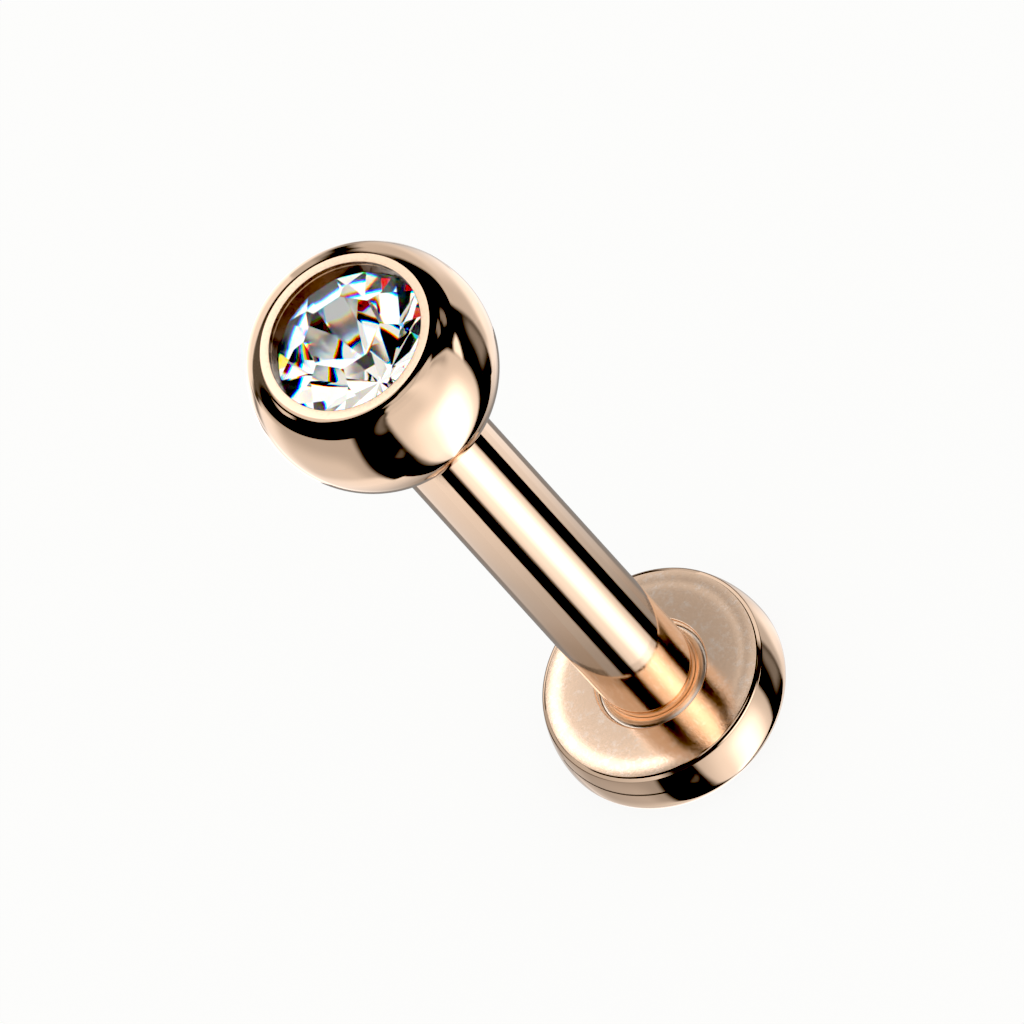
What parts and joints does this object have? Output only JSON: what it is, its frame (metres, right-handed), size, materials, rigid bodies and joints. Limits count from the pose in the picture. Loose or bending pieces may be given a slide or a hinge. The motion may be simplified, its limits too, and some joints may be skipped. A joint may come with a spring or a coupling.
{
  "type": "labret stud",
  "caption": "Polished labret stud with a flat disc back, a straight post and a ball top that holds a round faceted clear stone in a flat-rimmed cup.",
  "frame": {"origin": "centre of the flat underside of the back disc, which the stud stands on", "axes": "+Z along the post from the disc to the ball and stone; +X and +Y across the post, with the picture taken from the -Y side; the stone's table has a corner 11.5 degrees from +X"},
  "size_m": [0.004, 0.004, 0.0138],
  "materials": {
    "plated_steel": "surgical steel, lathe turned, mirror polished and rose gold plated, with a fine satin grain on the face of the disc",
    "bare_steel": "turned surgical steel, unplated",
    "stone": "clear lead crystal, faceted and polished, with a silver foil back"
  },
  "bodies": {
    "back": {"back_disc": "plated_steel", "post": "plated_steel"},
    "top": {"ball": "plated_steel", "pin": "bare_steel", "stone": "stone"}
  },
  "joints": [
    {"name": "ball_lift", "type": "slide", "parent": "back", "child": "top", "axis": [0, 0, 1], "range_m": [0, 0.012]}
  ]
}
